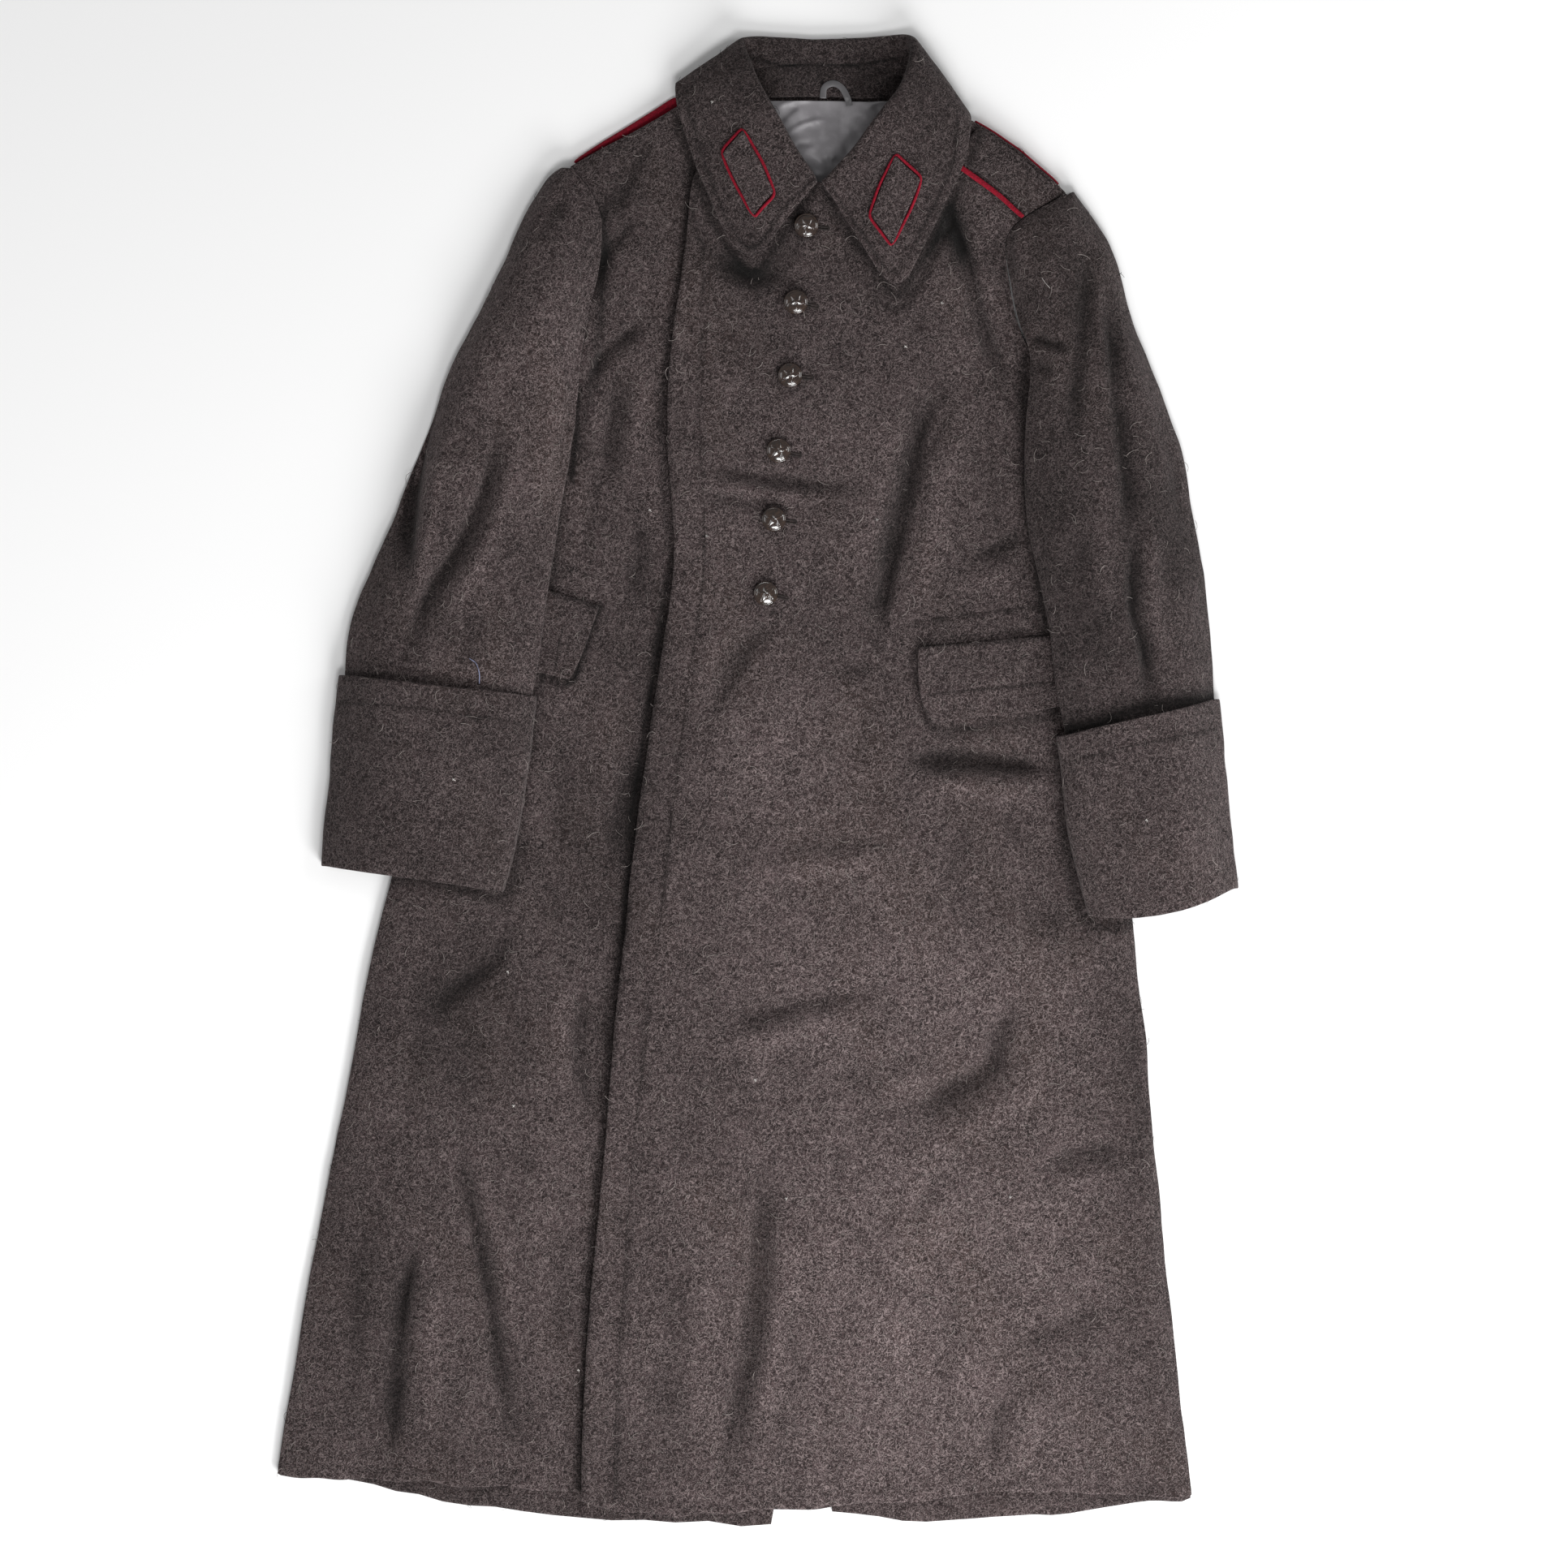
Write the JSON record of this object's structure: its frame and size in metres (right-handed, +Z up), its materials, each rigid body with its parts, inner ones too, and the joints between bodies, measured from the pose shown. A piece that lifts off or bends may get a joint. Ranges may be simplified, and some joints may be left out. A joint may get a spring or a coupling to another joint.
{
  "type": "greatcoat",
  "caption": "Long heavy wool greatcoat lying closed on its back, with a turned-down collar, deep cuffs, pocket flaps, shoulder boards and a single row of buttons.",
  "frame": {"origin": "centre of the coat's outline on the surface it rests on", "axes": "+Y along the coat towards the collar, +X towards the wearer's left, +Z up from the surface"},
  "size_m": [0.83, 1.2862, 0.0419],
  "materials": {
    "wool": "heavy felted wool, matt",
    "satin": "soft satin lining cloth",
    "piping": "crimson wool piping, matt",
    "button": "dark brown moulded, glossy"
  },
  "bodies": {
    "root": {"back_right": "wool", "back_left": "wool", "front_right": "wool", "front_left": "wool", "lining": "satin", "sleeve_right_top": "wool", "sleeve_right_under": "wool", "sleeve_left_top": "wool", "sleeve_left_under": "wool", "cuff_right": "wool", "cuff_left": "wool", "collar": "wool", "collar_stand": "wool", "tab_right": "wool", "tab_piping_right": "piping", "tab_left": "wool", "tab_piping_left": "piping", "board_left": "wool", "board_right": "wool", "board_left_inner_piping": "piping", "board_left_shoulder_piping": "piping", "board_right_piping": "piping", "flap_left": "wool", "flap_right": "wool", "button_1": "button", "button_2": "button", "button_3": "button", "button_4": "button", "button_5": "button", "button_6": "button", "hanger_loop": "satin"}
  },
  "joints": []
}
